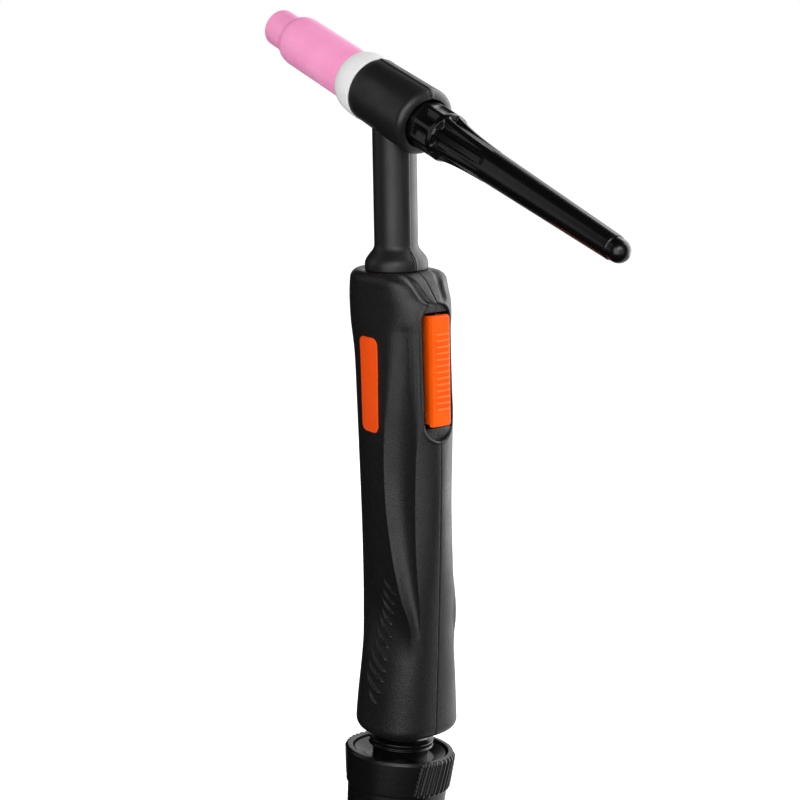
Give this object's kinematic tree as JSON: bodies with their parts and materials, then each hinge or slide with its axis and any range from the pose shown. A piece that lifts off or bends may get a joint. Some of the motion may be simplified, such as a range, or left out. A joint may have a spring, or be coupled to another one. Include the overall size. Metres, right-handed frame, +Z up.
{
  "type": "tig torch",
  "caption": "Hand-held gas tungsten arc welding torch: angled head with ceramic gas cup and long back cap, split-shell trigger handle and a ball-jointed cable outlet.",
  "frame": {"origin": "middle of the grip, on the axis of the neck", "axes": "+Z up the neck towards the head, +X towards the trigger and the back cap, +Y towards the shell that the screws enter"},
  "size_m": [0.172, 0.0373, 0.2716],
  "materials": {
    "alumina": "satin glaze",
    "ptfe": "smooth white",
    "copper": "drawn copper",
    "brass": "turned brass",
    "head_moulding": "fine matt grain",
    "seal_rubber": "moulded",
    "cap_gloss": "polished",
    "neck_sleeve": "satin",
    "shell": "fine spark-eroded grain",
    "orange": "satin",
    "steel": "bright",
    "switch_case": "moulded",
    "plunger_red": "moulded",
    "carrier_grey": "moulded",
    "boot_rubber": "moulded",
    "liner_grey": "smooth",
    "ball_gloss": "polished",
    "collar": "soft grain"
  },
  "bodies": {
    "torch": {"cup_gasket": "ptfe", "collet_body": "copper", "collet": "copper", "head_core": "brass", "head_moulding": "head_moulding", "neck_tube": "copper", "neck_sleeve": "neck_sleeve", "handle_shell_left": "shell", "handle_shell_right": "shell", "side_badge": "orange", "handle_screws": "steel", "trigger_pin": "steel", "trigger_spring": "steel", "switch_body": "switch_case", "switch_terminals": "brass", "switch_carrier": "carrier_grey", "power_adapter": "brass", "adapter_boot": "boot_rubber"},
    "nozzle": {"gas_nozzle": "alumina"},
    "cap_seal": {"back_cap_oring": "seal_rubber"},
    "cap": {"back_cap": "cap_gloss", "back_cap_insert": "brass"},
    "trigger": {"trigger": "orange"},
    "plunger": {"switch_plunger": "plunger_red"},
    "liner": {"swivel_liner": "liner_grey"},
    "band": {"swivel_band": "seal_rubber"},
    "swivel": {"swivel_ball": "ball_gloss", "swivel_collar": "collar", "swivel_ring": "steel"}
  },
  "joints": [
    {"name": "nozzle_off", "type": "slide", "parent": "torch", "child": "nozzle", "axis": [-0.9397, 0, 0.342], "range_m": [0, 0.045]},
    {"name": "cap_draw", "type": "slide", "parent": "torch", "child": "cap_seal", "axis": [0.9397, 0, -0.342], "range_m": [0, 0.002]},
    {"name": "cap_turn", "type": "hinge", "parent": "cap_seal", "child": "cap", "pos_m": [0.01879, 0, 0.12316], "axis": [0.9397, 0, -0.342], "range_deg": [0, 721]},
    {"name": "plunger_slide", "type": "slide", "parent": "torch", "child": "plunger", "axis": [-1, 0, 0], "range_m": [0, 0.0012]},
    {"name": "trigger_hinge", "type": "hinge", "parent": "torch", "child": "trigger", "pos_m": [0.0173, 0, 0.032], "axis": [0, -1, 0], "range_deg": [0, 3], "stiffness_Nm_per_rad": 0.8, "springref_deg": -2.86, "deforming": ["trigger_spring"]},
    {"name": "swivel_spin", "type": "hinge", "parent": "torch", "child": "liner", "pos_m": [0, 0, -0.07], "axis": [0, 0, 1], "continuous": true},
    {"name": "swivel_tilt_x", "type": "hinge", "parent": "liner", "child": "band", "pos_m": [0, 0, -0.07], "axis": [1, 0, 0], "range_deg": [-4, 17]},
    {"name": "swivel_tilt_y", "type": "hinge", "parent": "band", "child": "swivel", "pos_m": [0, 0, -0.07], "axis": [0, 0.9936, -0.1132], "range_deg": [-11.5, 9.5]}
  ],
  "couplings": [
    {"joint": "cap_turn", "follows": "cap_draw", "rad_per_m": 6283.2},
    {"joint": "trigger_hinge", "follows": "plunger_slide", "rad_per_m": 43.5}
  ]
}
